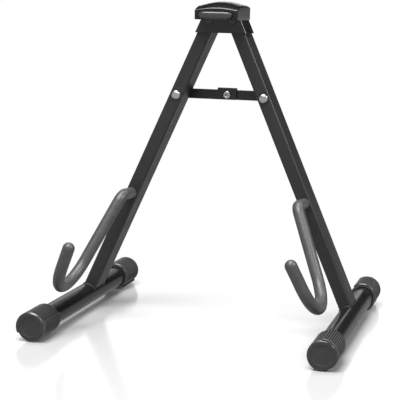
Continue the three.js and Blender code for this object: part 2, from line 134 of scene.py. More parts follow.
def circle_y(radius, y, sides, centre=(0.0, 0.0)):
    """Points of a circle about a line along Y."""
    return [(centre[0] + radius * math.cos(a), y, centre[1] + radius * math.sin(a)) for a in turn(sides)]


def loft(rings, start_point=None, end_point=None):
    """Points and faces through closed rings with equal counts. Each end is flat, or a fan to its point."""
    count = len(rings[0])
    points = [tuple(point) for ring in rings for point in ring]
    faces = []
    for i in range(len(rings) - 1):
        for j in range(count):
            k = (j + 1) % count
            faces.append((i * count + j, i * count + k, (i + 1) * count + k, (i + 1) * count + j))
    last = (len(rings) - 1) * count
    for point, first in ((start_point, 0), (end_point, last)):
        if point is None:
            faces.append(tuple(range(first, first + count)))
        else:
            points.append(tuple(point))
            hub = len(points) - 1
            faces += [(first + j, first + (j + 1) % count, hub) for j in range(count)]
    return points, faces


def closed_loft(rings):
    """Points and faces through closed rings with equal counts, the last one joined to the first."""
    count, total = len(rings[0]), len(rings)
    points = [point for ring in rings for point in ring]
    faces = []
    for i in range(total):
        n = (i + 1) % total
        for j in range(count):
            k = (j + 1) % count
            faces.append((i * count + j, i * count + k, n * count + k, n * count + j))
    return points, faces


def lathe_y(profile, sides=48, centre=(0.0, 0.0)):
    """A body of revolution about a line along Y. profile is (radius, y) from one axis end to the other."""
    rings = [circle_y(radius, y, sides, centre) for radius, y in profile[1:-1]]
    start, end = ((centre[0], profile[i][1], centre[1]) for i in (0, -1))
    return loft(rings, start, end)


def ring_y(profile, sides=48):
    """A ring about Y: the profile of (radius, y) closes on itself."""
    return closed_loft([[(r * math.cos(a), y, r * math.sin(a)) for r, y in profile] for a in turn(sides)])


def prism_y(outline, y0, y1):
    """An outline of (x, z) pairs, from y0 to y1."""
    return loft([[(x, y, z) for x, z in outline] for y in (y0, y1)])


def rounded_outline(half_x, half_z, radius, steps=6):
    points = []
    for cx, cz, start in ((1, -1, -90), (1, 1, 0), (-1, 1, 90), (-1, -1, 180)):
        for i in range(steps + 1):
            angle = math.radians(start + 90 * i / steps)
            points.append((cx * (half_x - radius) + radius * math.cos(angle),
                           cz * (half_z - radius) + radius * math.sin(angle)))
    return points


def drill(radius, y0, y1, x, z, place):
    """A round tool along Y."""
    profile = [(0, y0), (radius, y0), (radius, y1), (0, y1)]
    return mesh_from(*lathe_y(profile, DRILL_SIDES, (x, z)), place)


def edit(mesh, change):
    """Runs change on the mesh as a bmesh."""
    work = bmesh.new()
    work.from_mesh(mesh)
    change(work)
    work.to_mesh(mesh)
    work.free()
    return mesh


def bevel(mesh, width, angle=30.0, segments=2, above=None):
    """Rounds the sharp edges. With above, only those whose middle is higher than that."""
    def change(work):
        edges = []
        for edge in work.edges:
            sharp = len(edge.link_faces) == 2 and edge.calc_face_angle(0) > math.radians(angle)
            middle = (edge.verts[0].co + edge.verts[1].co) / 2 / MM
            if sharp and (above is None or middle.z > above):
                edges.append(edge)
        bmesh.ops.bevel(work, geom=edges, offset=width * MM, segments=segments, profile=0.5,
                        affect="EDGES", clamp_overlap=True)
    return edit(mesh, change)


def cut(mesh, *tools):
    """Takes the tools away from the mesh with exact booleans."""
    base = bpy.data.objects.new("base", mesh)
    bpy.context.scene.collection.objects.link(base)
    extra = []
    for tool in tools:
        other = bpy.data.objects.new("tool", tool)
        bpy.context.scene.collection.objects.link(other)
        extra.append(other)
        modifier = base.modifiers.new("cut", "BOOLEAN")
        modifier.operation = "DIFFERENCE"
        modifier.solver = "EXACT"
        modifier.object = other
    bpy.context.view_layer.update()
    result = bpy.data.meshes.new_from_object(base.evaluated_get(bpy.context.evaluated_depsgraph_get()))
    for item in [base, *extra]:
        bpy.data.objects.remove(item)
    return result


# ------------------------------------------------------------------ materials


class Nodes:
    """Short names for building a node material."""

    def __init__(self, name):
        self.material = bpy.data.materials.new(name)
        self.material.use_nodes = True
        self.tree = self.material.node_tree
        self.shader = self.tree.nodes["Principled BSDF"]
        self.place = self.tree.nodes.new("ShaderNodeTexCoord").outputs["Object"]

    def noise(self, scale, detail=2.0, roughness=0.5):
        node = self.tree.nodes.new("ShaderNodeTexNoise")
        node.inputs["Scale"].default_value = scale
        node.inputs["Detail"].default_value = detail
        node.inputs["Roughness"].default_value = roughness
        self.tree.links.new(self.place, node.inputs["Vector"])
        return node.outputs["Fac"]

    def cells(self, scale):
        node = self.tree.nodes.new("ShaderNodeTexVoronoi")
        node.inputs["Scale"].default_value = scale
        self.tree.links.new(self.place, node.inputs["Vector"])
        return node.outputs["Distance"]

    def spread(self, value, low, high, start=0.3, end=0.7):
        node = self.tree.nodes.new("ShaderNodeMapRange")
        for key, number in zip(("From Min", "From Max", "To Min", "To Max"), (start, end, low, high)):
            node.inputs[key].default_value = number
        self.tree.links.new(value, node.inputs["Value"])
        return node.outputs["Result"]

    def colours(self, value, dark, light, start=0.3, end=0.7):
        node = self.tree.nodes.new("ShaderNodeValToRGB")
        node.color_ramp.elements[0].position = start
        node.color_ramp.elements[1].position = end
        node.color_ramp.elements[0].color = (*dark, 1)
        node.color_ramp.elements[1].color = (*light, 1)
        self.tree.links.new(value, node.inputs["Fac"])
        return node.outputs["Color"]

    def bump(self, height, distance, strength=1.0, below=None):
        node = self.tree.nodes.new("ShaderNodeBump")
        node.inputs["Strength"].default_value = strength
        node.inputs["Distance"].default_value = distance
        self.tree.links.new(height, node.inputs["Height"])
        if below is not None:
            self.tree.links.new(below, node.inputs["Normal"])
        return node.outputs["Normal"]

    def put(self, **sockets):
        for key, value in sockets.items():
            socket = self.shader.inputs[key.replace("_", " ")]
            if isinstance(value, bpy.types.NodeSocket):
                self.tree.links.new(value, socket)
            else:
                socket.default_value = value
        return self.material


def grey(value, blue=0.0):
    return (value, value, value + blue)


def painted(name, tone, rough, peel, specular):
    """Black paint on steel: faint cloudiness, orange peel and a few dust specks."""
    n = Nodes(name)
    cloud = n.noise(18, 3)
    peel_height = n.noise(900, 2)
    dust = n.cells(2600)
    normal = n.bump(peel_height, peel * MM, 0.5)
    return n.put(
        Base_Color=n.colours(cloud, grey(tone * 0.8), grey(tone * 1.15, 0.001)),
        Roughness=n.spread(n.noise(55, 4), rough * 0.88, rough * 1.15),
        Normal=n.bump(dust, 0.01 * MM, 0.15, normal),
        Specular_IOR_Level=specular,
    )


def rubber(name, tone, rough, grain, specular=0.5):
    """Moulded rubber: fine grain, patchy bloom."""
    n = Nodes(name)
    bloom = n.noise(60, 4, 0.6)
    fine = n.noise(2600, 2)
    normal = n.bump(fine, grain * MM, 0.6)
    return n.put(
        Base_Color=n.colours(bloom, grey(tone * 0.85), grey(tone * 1.18)),
        Roughness=n.spread(n.noise(140, 3), rough * 0.9, rough * 1.1),
        Normal=n.bump(n.noise(420, 3), grain * 1.5 * MM, 0.3, normal),
        Specular_IOR_Level=specular,
    )


def foam(name, tone, rough):
    """Dense closed-cell foam sleeve: tiny cells, soft velvety light."""
    n = Nodes(name)
    cells = n.cells(1900)
    skin = n.noise(160, 4, 0.6)
    normal = n.bump(cells, 0.05 * MM, 0.35)
    return n.put(
        Base_Color=n.colours(skin, grey(tone * 0.86), grey(tone * 1.12)),
        Roughness=n.spread(skin, rough * 0.92, rough * 1.1),
        Normal=n.bump(n.noise(700, 3), 0.08 * MM, 0.3, normal),
        Specular_IOR_Level=0.5,
    )


def plated(name, tone, rough):
    """Plated steel: fine polishing scratches and slight waviness."""
    n = Nodes(name)
    wave = n.noise(120, 2)
    scratch = n.noise(3500, 2)
    return n.put(
        Base_Color=n.colours(wave, grey(tone * 0.94), grey(tone, 0.01)),
        Metallic=1.0,
        Roughness=n.spread(scratch, rough * 0.8, rough * 1.3),
        Normal=n.bump(wave, 0.02 * MM, 0.2),
    )


LEG_PAINT = painted("leg_paint", 0.014, 0.4, 0.03, 0.45)
TUBE_PAINT = painted("tube_paint", 0.007, 0.24, 0.01, 0.28)
BRACKET_PAINT = painted("bracket_paint", 0.01, 0.14, 0.004, 0.5)
LINK_PAINT = painted("link_paint", 0.013, 0.36, 0.03, 0.42)
BLACK_OXIDE = painted("black_oxide", 0.014, 0.2, 0.01, 0.6)
CAP_RUBBER = rubber("cap_rubber", 0.055, 0.36, 0.02, 0.6)
# much darker rubber for the bottoms of the cap's grooves: painted shade in the grooves
PAINTED_GROOVE_SHADE = rubber("painted_groove_shade", 0.003, 0.7, 0.02, 0.1)
LIP_RUBBER = rubber("lip_rubber", 0.02, 0.2, 0.006, 0.8)
DISC_RUBBER = rubber("disc_rubber", 0.024, 0.6, 0.02, 0.35)
PAD_RUBBER = rubber("pad_rubber", 0.005, 0.17, 0.002, 0.4)
BOLSTER_RUBBER = rubber("bolster_rubber", 0.032, 0.24, 0.003, 0.5)
HOOK_FOAM = foam("hook_foam", 0.05, 0.4)
NICKEL = plated("nickel", 0.54, 0.25)
ZINC = plated("zinc", 0.6, 0.32)
NYLON = rubber("nylon", 0.02, 0.45, 0.01)

# ------------------------------------------------------------------ head


def at_plane(x=0.0, z=0.0):
    """From a frame whose y = 0 is the plane of the legs."""
    return Matrix.Translation((x, PLANE_Y, z))


BRACKET_LOW, BRACKET_HIGH = box_mm("top_bracket")
BRACKET_HALF = BRACKET_HIGH.x
BRACKET_DEPTH = (BRACKET_HIGH.y - BRACKET_LOW.y) / 2
SHEET = 1.5
OUTER_BEND = 1.9
INNER_BEND = 1.0
SHEET_EDGE = 0.3


def trapezoid(inset, z_low, z_high):
    """The bracket's outline from the front, with its sloping sides moved in by inset."""
    def half(z):
        return BRACKET_HALF - (z - BRACKET_LOW.z) * math.tan(SPLAY) - inset / math.cos(SPLAY)
    return [(-half(z_low), z_low), (half(z_low), z_low), (half(z_high), z_high), (-half(z_high), z_high)]


def bracket():
    """Folded sheet, open below, with rounded bends."""
    points, faces = prism_y(trapezoid(0, BRACKET_LOW.z, BRACKET_HIGH.z), -BRACKET_DEPTH, BRACKET_DEPTH)
    outer = bevel(mesh_from(points, faces, at_plane()), OUTER_BEND, 20, 5, BRACKET_LOW.z + 0.5)
    inside = BRACKET_DEPTH - SHEET
    below = BRACKET_LOW.z - 6
    points, faces = prism_y(trapezoid(SHEET, below, BRACKET_HIGH.z - SHEET), -inside, inside)
    inner = bevel(mesh_from(points, faces, at_plane()), INNER_BEND, 20, 3, below + 1)
    reach = BRACKET_DEPTH + 2
    holes = [drill(HOLE, -reach, reach, side * PIVOT.x, PIVOT.z, at_plane()) for side, _ in SIDES]
    shell = bevel(cut(outer, inner, *holes), SHEET_EDGE, 60, 2)
    finish_mesh("top_bracket_sheet", shell, BRACKET_PAINT, "head", ["top_bracket"])


PAD_LOW, PAD_HIGH = box_mm("head_pad")
PAD_LOW.y -= PLANE_Y
PAD_HIGH.y -= PLANE_Y
# distances back from the front of the pad, and the height of its top there
PAD_NOSE = ((0, 13.2), (2.5, 14.5), (6, 16.1), (11, 18.0), (18, 19.7), (28, 20.8), (40, 21.1), (52, 20.6))
PAD_REAR_HEIGHT = 19.4
# distances from either end of the pad, and how far its outline is drawn in there
PAD_ENDS = ((0, 1.0), (0.12, 0.55), (0.45, 0.2), (1.0, 0.03), (1.8, 0.0))
PAD_STEP = 2.0
PAD_FOOT_EDGE = 0.8
RIVET_RECESS = 5.8


def eased(distance, length):
    """Rises smoothly from 0 to 1 over the length."""
    t = max(0.0, min(1.0, distance / length))
    return t * t * (3 - 2 * t)


def pad_top(x, y):
    """Height of the pad's top over (x, y)."""
    nose = [(PAD_LOW.y + distance, height) for distance, height in PAD_NOSE]
    nose.append((PAD_HIGH.y, PAD_REAR_HEIGHT))
    for (y0, h0), (y1, h1) in zip(nose, nose[1:]):
        if y <= y1:
            height = h0 + (h1 - h0) * ((y - y0) / (y1 - y0))
            break
    crown = 2.6 + 2.2 * eased(y - PAD_LOW.y, 24)
    across = abs(x) / PAD_HIGH.x
    return PAD_LOW.z + height - crown * across ** 1.9


def pad_ring(y, inset):
    """The pad's outline at y, drawn in by inset: base, right side, top, then the right side mirrored."""
    width = PAD_HIGH.x - inset
    bottom = PAD_LOW.z + inset
    shoulder = 1.7 + 1.7 * eased(y - PAD_LOW.y, 26)
    drop = shoulder * 0.8
    side_top = pad_top(width - shoulder, y) - inset
    rise = side_top - drop - bottom - PAD_FOOT_EDGE
    base = [(-width + PAD_FOOT_EDGE + (2 * width - 2 * PAD_FOOT_EDGE) * i / 6, y, bottom) for i in range(7)]
    right = [(width - 0.2, y, bottom + 0.2), (width, y, bottom + PAD_FOOT_EDGE)]
    right += [(width, y, bottom + PAD_FOOT_EDGE + rise * i / 3) for i in range(1, 4)]
    for i in range(1, 8):
        angle = math.radians(90 * i / 8)
        x = width - shoulder + shoulder * math.cos(angle)
        right.append((x, y, side_top - drop + drop * math.sin(angle)))
    top = [((width - shoulder) * (1 - i / 12), y) for i in range(25)]
    top = [(x, y, pad_top(x, y) - inset) for x, y in top]
    return base + right + top + [(-x, y, z) for x, y, z in reversed(right)]


def head_pad():
    """Moulded pad: crowned across, sloping nose, rounded edges, hollow below for the bracket."""
    stations = [(PAD_LOW.y + distance, inset) for distance, inset in PAD_ENDS]
    y = PAD_LOW.y + PAD_ENDS[-1][0]
    while y < PAD_HIGH.y - PAD_ENDS[-1][0] - 1.2 * PAD_STEP:
        y += PAD_STEP
        stations.append((y, 0.0))
    stations += [(PAD_HIGH.y - distance, inset) for distance, inset in reversed(PAD_ENDS)]
    solid = mesh_from(*loft([pad_ring(y, inset) for y, inset in stations]), at_plane())
    reach = BRACKET_DEPTH + GAP
    points, faces = prism_y(trapezoid(-GAP, PAD_LOW.z - 5, BRACKET_HIGH.z + GAP), -reach, reach)
    tools = [mesh_from(points, faces, at_plane())]
    for side, _ in SIDES:
        tools.append(drill(RIVET_RECESS, -reach - 3.4, 0, side * PIVOT.x, PIVOT.z, at_plane()))
    mesh = cut(solid, *tools)
    piece = finish_mesh("head_pad_moulding", mesh, PAD_RUBBER, "head", ["head_pad"], 50)


def bolster():
    """Rounded bar across the front of the pad: a squarish oval that closes at its ends."""
    low, high = box_mm("pad_bolster")
    low.y -= PLANE_Y
    high.y -= PLANE_Y
    middle_z = (low.z + high.z) / 2
    half_z = (high.z - low.z) / 2
    half_y = (high.y - low.y) / 2
    steps = 40
    rings = []
    for k in range(steps + 1):
        t = -1 + 2 * k / steps
        x = high.x * math.sin(t * math.pi / 2)
        close = abs(x) / high.x
        squeeze = max(0.12, math.sqrt(max(0.0, 1 - close ** 7)))
        ring = []
        for angle in turn(32):
            c, s = math.cos(angle), math.sin(angle)
            c = math.copysign(abs(c) ** 0.55, c)
            s = math.copysign(abs(s) ** 0.7, s)
            y = high.y - half_y - half_y * c * (0.35 + 0.65 * squeeze) + half_y * (1 - squeeze) * 0.65
            lift = 0.9 * (1 - squeeze)
            ring.append((x, y, middle_z + lift + half_z * s * squeeze))
        rings.append(ring)
    mesh = mesh_from(*loft(rings), at_plane())
    piece = finish_mesh("pad_bolster_moulding", mesh, BOLSTER_RUBBER, "head",
                        ["pad_bolster"], 60)


def dome(radius, height, y, direction, shank, far):
    """Half of a rivet: domed head at y facing direction, then a shank to far."""
    profile = [(0, y + direction * height)]
    for i in range(1, 9):
        angle = math.radians(90 * i / 9)
        level = 0.18 + 0.82 * math.cos(angle)
        profile.append((radius * math.sin(angle) * 0.97, y + direction * level * height))
    profile.append((radius * 0.995, y + direction * height * 0.14))
    profile.append((radius, y + direction * height * 0.07))
    profile += [(radius, y), (shank, y), (shank, far), (0, far)]
    return profile


def hex_nut(radius, bore, y0, y1):
    """Hex nut with chamfered corners."""
    sides = 36
    flat = radius * math.cos(math.pi / 6)
    rings = []
    for y, chamfer in ((y0, 0.93), (y0 + 0.5, 1.0), (y1 - 0.5, 1.0), (y1, 0.93)):
        ring = []
        for angle in turn(sides):
            from_flat = (angle + math.pi / 6) % (math.pi / 3) - math.pi / 6
            reach = min(flat / math.cos(from_flat), radius * chamfer)
            ring.append((reach * math.cos(angle), y, reach * math.sin(angle)))
        rings.append(ring)
    rings += [circle_y(bore, y, sides) for y in (y1, y0)]
    return closed_loft(rings)


def washer(y0, y1):
    """Flat ring with its rim broken on both sides."""
    rim = WASHER_RADIUS - 0.2
    profile = [(HOLE, y0), (rim, y0), (WASHER_RADIUS, y0 + 0.2)]
    profile += [(WASHER_RADIUS, y1 - 0.2), (rim, y1), (HOLE, y1)]
    return ring_y(profile)


def pivot_fasteners():
    seat = BRACKET_DEPTH + GAP
    nut_thickness = 4.6
    for side, word in SIDES:
        place = at_plane(side * PIVOT.x, PIVOT.z)
        end = box_mm(f"{word}_pivot_rivet")[1].y - PLANE_Y
        rivet = mesh_from(*lathe_y(dome(RIVET_HEAD, RIVET_DOME, -seat, -1, RIVET_SHANK, end)), place)
        finish_mesh(f"{word}_pivot_bolt", rivet, BLACK_OXIDE, "head",
                    [f"{word}_pivot_rivet"])
        nut = mesh_from(*hex_nut(NUT_RADIUS, HOLE, seat, seat + nut_thickness), place)
        finish_mesh(f"{word}_pivot_hex_nut", nut, BLACK_OXIDE, "head",
                    [f"{word}_pivot_nut"], 25)


# ------------------------------------------------------------------ legs and feet


def leg_matrix(side):
    """From the leg's own frame (z along the leg from the foot's axis) to the stand's."""
    return Matrix.Translation((side * FOOT_X, PLANE_Y, FOOT_Z)) @ Matrix.Rotation(-side * SPLAY, 4, "Y")


LEG_HALF = 7.75
LEG_TOP = PIVOT_ALONG + LEG_HALF
LEG_CORNER = 2.6
LEG_WALL = 1.5
LEG_BORE_CORNER = 1.2
FOOT_RADIUS = 12.7
FOOT_BORE = 11.5


def leg_tube(side, word):
    """Rounded rectangular tube, coped over the foot and drilled for its rivets and its hook."""
    place = leg_matrix(side)
    outline = rounded_outline(LEG_HALF, LEG_FACE, LEG_CORNER, 7)
    z_steps = [0, 0.3] + [LEG_TOP * i / 12 for i in range(1, 12)] + [LEG_TOP - 0.3, LEG_TOP]
    shrink = [0.25] + [0] * (len(z_steps) - 2) + [0.25]
    rings = []
    for z, less in zip(z_steps, shrink):
        rings.append([(x * (1 - less / LEG_HALF), y * (1 - less / LEG_FACE), z) for x, y in outline])
    solid = mesh_from(*loft(rings), place)
    bore = rounded_outline(LEG_HALF - LEG_WALL, LEG_FACE - LEG_WALL, LEG_BORE_CORNER, 4)
    hollow = mesh_from(*loft([[(x, y, z) for x, y in bore] for z in (-3, LEG_TOP + 3)]), place)
    # the top end is round about the pivot, so that the leg swings freely inside the bracket
    arch = [(-LEG_HALF - 1, PIVOT_ALONG)]
    for i in range(25):
        angle = math.pi * i / 24
        arch.append((-LEG_HALF * math.cos(angle), PIVOT_ALONG + LEG_HALF * math.sin(angle)))
    arch += [(LEG_HALF + 1, PIVOT_ALONG), (LEG_HALF + 1, LEG_TOP + 5), (-LEG_HALF - 1, LEG_TOP + 5)]
    corners = mesh_from(*prism_y(arch, -LEG_FACE - 4, LEG_FACE + 4), place)
    cope = drill(FOOT_RADIUS + GAP, -40, 40, 0, 0, place)
    reach = LEG_FACE + 5
    holes = []
    for radius, along in ((HOLE, PIVOT_ALONG), (HOLE, BRACE_ALONG), (ROD_HOLE, HOOK_ALONG)):
        holes.append(drill(radius, -reach, reach, 0, along, place))
    tube = cut(solid, hollow, corners, cope, *holes)
    finish_mesh(f"{word}_leg_shell", tube, LEG_PAINT, f"{word}_leg",
                [f"{word}_leg_tube"], 30)


def weld_bead(side, word):
    """Thin rippled weld where the leg meets the foot tube."""
    outline = rounded_outline(LEG_HALF + 0.5, LEG_FACE + 0.5, 3.0, 10)
    dense = []
    for i, (x, y) in enumerate(outline):
        x2, y2 = outline[(i + 1) % len(outline)]
        parts = max(1, int(math.hypot(x2 - x, y2 - y)))
        dense += [(x + (x2 - x) * k / parts, y + (y2 - y) * k / parts) for k in range(parts)]
    rings = []
    # the leg leans about Y only, so the foot tube is a circle about Y in the leg's frame too
    for index, (x, y) in enumerate(dense):
        z = math.sqrt(max(0.0, (FOOT_RADIUS + 0.05) ** 2 - x * x))
        normal = Vector((x, 0, z)).normalized()
        before = Vector(dense[index - 1])
        after = Vector(dense[(index + 1) % len(dense)])
        run = (after - before).normalized()
        outward = Vector((run.y, -run.x, 0))
        size = 0.85 + 0.12 * math.sin(index * 1.9)
        centre = Vector((x, y, z + 0.1))
        rings.append([tuple(centre + outward * (size * math.cos(a)) + normal * (size * math.sin(a)))
                      for a in turn(8)])
    bead = mesh_from(*closed_loft(rings), leg_matrix(side))
    finish_mesh(f"{word}_weld", bead, LEG_PAINT, f"{word}_leg", (), 60)


def brace_rivet(side, word):
    """Domed rivet through the leg. The right one's tail is a piece of its own."""
    place = leg_matrix(side) @ Matrix.Translation((0, 0, BRACE_ALONG))
    end = box_mm(f"{word}_brace_rivet")[1].y - PLANE_Y
    profile = dome(RIVET_HEAD, RIVET_DOME, -LEG_FACE - GAP, -1, RIVET_SHANK, end)
    if side < 0:
        seat = end - TAIL_DOME
        tail = dome(RIVET_HEAD, TAIL_DOME, seat, 1, RIVET_SHANK, seat)
        profile = profile[:-2] + [(RIVET_SHANK, seat)] + tail[:-2][::-1]
    rivet = mesh_from(*lathe_y(profile), place)
    finish_mesh(f"{word}_brace_rivet_domed", rivet, NICKEL, f"{word}_leg",
                [f"{word}_brace_rivet"])


FOOT_LOW, FOOT_HIGH = box_mm("right_foot_tube")


def foot_tube(side, word):
    """Round tube with its outer edges broken."""
    low, high = FOOT_LOW.y - PLANE_Y, FOOT_HIGH.y - PLANE_Y
    rim = FOOT_RADIUS - 0.3
    profile = [(FOOT_BORE, low), (rim, low), (FOOT_RADIUS, low + 0.3),
               (FOOT_RADIUS, high - 0.3), (rim, high), (FOOT_BORE, high)]
    tube = mesh_from(*ring_y(profile, 96), at_plane(side * FOOT_X, FOOT_Z))
    finish_mesh(f"{word}_foot_tube_round", tube, TUBE_PAINT, f"{word}_leg",
                [f"{word}_foot_tube"])


# ------------------------------------------------------------------ end caps

CAP_LOW_RADIUS = 15.6
CAP_HIGH_RADIUS = 17.6
CAP_STEP_ANGLES = {"left_front": 208, "right_front": 274, "left_rear": 312, "right_rear": 312}
CAP_SEAT_WIDTH = 24.0                          # degrees to either side in which the bulge dies away
RIBS_PER_HALF = 23
RIB_DEPTH = 1.0
RIBS_START = 2.8                               # distances from the cap's outer face
CAP_FLOOR = 4.2                                # where the hollow for the tube ends
CAP_BORE = 13.0
# (distance from the outer face, radius) of the plain end disc, from its middle out
CAP_DISC = ((0.55, 9.6), (0.5, 10.3), (0.12, 10.9), (0.02, 11.6), (0.0, 14.0), (0.08, 14.6), (0.35, 15.05),
            (0.8, 15.25))
# (distance from the end, how much smaller than the cam) of the smooth lips
OUTER_LIP = ((1.15, 0.45), (1.3, 0.2), (1.7, 0.0), (2.3, 0.0))
INNER_LIP = ((2.1, 0.0), (1.3, 0.12), (0.6, 0.55), (0.15, 1.25))
DOWN = 270                                     # degrees


def cap_outline(step_angle):
    """Angle in radians, cam radius and depth of groove from 0 to 1, round the cap."""
    growth = (CAP_HIGH_RADIUS - CAP_LOW_RADIUS) / 180
    lowest = CAP_LOW_RADIUS + growth * ((DOWN - step_angle + 360) % 180)
    bulge = FOOT_Z - lowest
    found = []
    per_half = RIBS_PER_HALF * 8
    for half in (0, 180):
        for i in range(per_half + 1):
            past = 180 * i / per_half
            degrees = step_angle + half + past
            from_down = ((degrees - DOWN + 540) % 360) - 180
            radius = CAP_LOW_RADIUS + growth * past + bulge * math.exp(-((from_down / CAP_SEAT_WIDTH) ** 2))
            groove = (0.5 + 0.5 * math.cos(2 * math.pi * past / (180 / RIBS_PER_HALF))) ** 1.2
            found.append((math.radians(degrees), radius, groove))
    return found


def finish_cap(mesh, side, step_angle, outer_y, length):
    """Gives the end disc and the lips their own rubber, and the bottoms of the grooves a much darker rubber
    that paints shade into them.
    """
    for material in (DISC_RUBBER, LIP_RUBBER, PAINTED_GROOVE_SHADE):
        mesh.materials.append(material)
    disc, lip, groove = 1, 2, 3
    for polygon in mesh.polygons:
        x = polygon.center.x / MM - side * FOOT_X
        z = polygon.center.z / MM - FOOT_Z
        far = math.hypot(x, z)
        deep = abs(polygon.center.y / MM - outer_y - PLANE_Y)
        on_rim = far > 14.0
        if deep < 0.7 and far < 14.3:
            polygon.material_index = disc
        elif on_rim and (deep < 1.0 or deep > length - 1.3):
            polygon.material_index = lip
        elif on_rim and 2.3 < deep < length - 2.1:
            turned = math.degrees(math.atan2(z, x)) - step_angle
            phase = (turned % 180) * RIBS_PER_HALF / 180 % 1
            # the bottoms of the grooves get the dark rubber: painted shade
            if phase < 0.23 or phase > 0.77:
                polygon.material_index = groove


def end_cap(side, word, end):
    """Ribbed rubber cap with a two-step cam outline, smooth lips and a plain end disc."""
    name = f"{word}_{end}_cap"
    low, high = box_mm(name)
    outer_y, inner_y = (low.y, high.y) if end == "front" else (high.y, low.y)
    outer_y -= PLANE_Y
    inner_y -= PLANE_Y
    inward = 1 if inner_y > outer_y else -1
    length = abs(inner_y - outer_y)
    step_angle = CAP_STEP_ANGLES[f"{word}_{end}"]
    outline = cap_outline(step_angle)

    def ring(distance, reaches):
        y = outer_y + inward * distance
        return [(reach * math.cos(angle), y, reach * math.sin(angle))
                for (angle, _, _), reach in zip(outline, reaches)]

    def round_ring(distance, radius):
        return ring(distance, [radius] * len(outline))

    def cam_ring(distance, less, ribs=0.0):
        """The cam, smaller by less, with its grooves at ribs times their depth, and never below the floor."""
        reaches = []
        for angle, radius, groove in outline:
            reach = radius - less - RIB_DEPTH * groove * ribs
            if math.sin(angle) < -0.5:
                reach = min(reach, FOOT_Z / -math.sin(angle))
            reaches.append(reach)
        return ring(distance, reaches)

    ribs_length = length - RIBS_START - 2.6
    rings = [round_ring(distance, radius) for distance, radius in CAP_DISC]
    rings += [cam_ring(distance, less) for distance, less in OUTER_LIP]
    rings += [cam_ring(RIBS_START + ribs_length * i / 6, 0.0, 1.0) for i in range(7)]
    rings += [cam_ring(length - distance, less) for distance, less in INNER_LIP]
    rings += [round_ring(length, 14.0), round_ring(length, 13.3)]
    rings += [round_ring(length - 0.4, CAP_BORE), round_ring(CAP_FLOOR, CAP_BORE)]
    start = (0, outer_y + inward * CAP_DISC[0][0], 0)
    stop = (0, outer_y + inward * CAP_FLOOR, 0)
    mesh = mesh_from(*loft(rings, start, stop), at_plane(side * FOOT_X, FOOT_Z))
    edit(mesh, lambda work: bmesh.ops.remove_doubles(work, verts=work.verts, dist=1e-6))
    finish_mesh(f"{name}_ribbed", mesh, CAP_RUBBER, name, [name], 40)
    finish_cap(mesh, side, step_angle, outer_y, length)


# ------------------------------------------------------------------ hooks

# (along the leg, y) of the corners of the hook's centre line, and the radii of the bends there
HOOK_KNEE = (HOOK_ALONG, -23.0)
HOOK_ELBOW = (142.4, -55.0)
HOOK_APEX = (-50.0, -136.0)
HOOK_TIP = (95.3, -174.3)
KNEE_BEND = 25
ELBOW_BEND = 13
APEX_BEND = 42
SLEEVE_RADIUS = 6.7
SLEEVE_SIDES = 40
# (distance from the leg, radius) where the sleeve begins
SLEEVE_MOUTH = ((0, 5.4), (0.1, 5.8), (0.35, 6.05), (0.8, 6.25), (1.5, 6.35))
THREAD_RADIUS = 3.0
THREAD_PITCH = 0.8


def round_corner(before, corner, after, radius, steps):
    """Points of an arc that rounds the corner between two straight stretches."""
    a = (before - corner).normalized()
    b = (after - corner).normalized()
    half = a.angle(b) / 2
    centre = corner + (a + b).normalized() * (radius / math.sin(half))
    start = corner + a * (radius / math.tan(half)) - centre
    stop = corner + b * (radius / math.tan(half)) - centre
    sweep = start.angle(stop)
    points = []
    for i in range(steps + 1):
        past = i / steps
        arm = start * math.sin((1 - past) * sweep) + stop * math.sin(past * sweep)
        points.append(centre + arm / math.sin(sweep))
    return points


def hook_route(start_y, short=0.0):
    """Points (0, y, along) of the hook's centre line, its last stretch ending short of the tip."""
    corners = ((HOOK_ALONG, start_y), HOOK_KNEE, HOOK_ELBOW, HOOK_APEX, HOOK_TIP)
    start, knee, elbow, apex, tip = (Vector((0, y, along)) for along, y in corners)
    tip = tip + (apex - tip).normalized() * short
    route = [start]
    route += round_corner(start, knee, elbow, KNEE_BEND, 4)
    route += round_corner(knee, elbow, apex, ELBOW_BEND, 14)
    route += round_corner(elbow, apex, tip, APEX_BEND, 36)
    return route + [tip]


def spread_points(route, gap):
    """The same route with more points, so that no stretch is as long as twice the gap."""
    made = [route[0]]
    for a, b in zip(route, route[1:]):
        parts = max(1, int((b - a).length / gap))
        made += [a.lerp(b, k / parts) for k in range(1, parts + 1)]
    return made


def swept(route, radii, sides):
    """Circles of the given radii square to the route."""
    across = Vector((1, 0, 0))
    rings = []
    for i, (point, radius) in enumerate(zip(route, radii)):
        before = route[max(0, i - 1)]
        after = route[min(len(route) - 1, i + 1)]
        up = (after - before).normalized().cross(across).normalized()
        rings.append([tuple(point + across * (radius * math.cos(a)) + up * (radius * math.sin(a)))
                      for a in turn(sides)])
    return rings


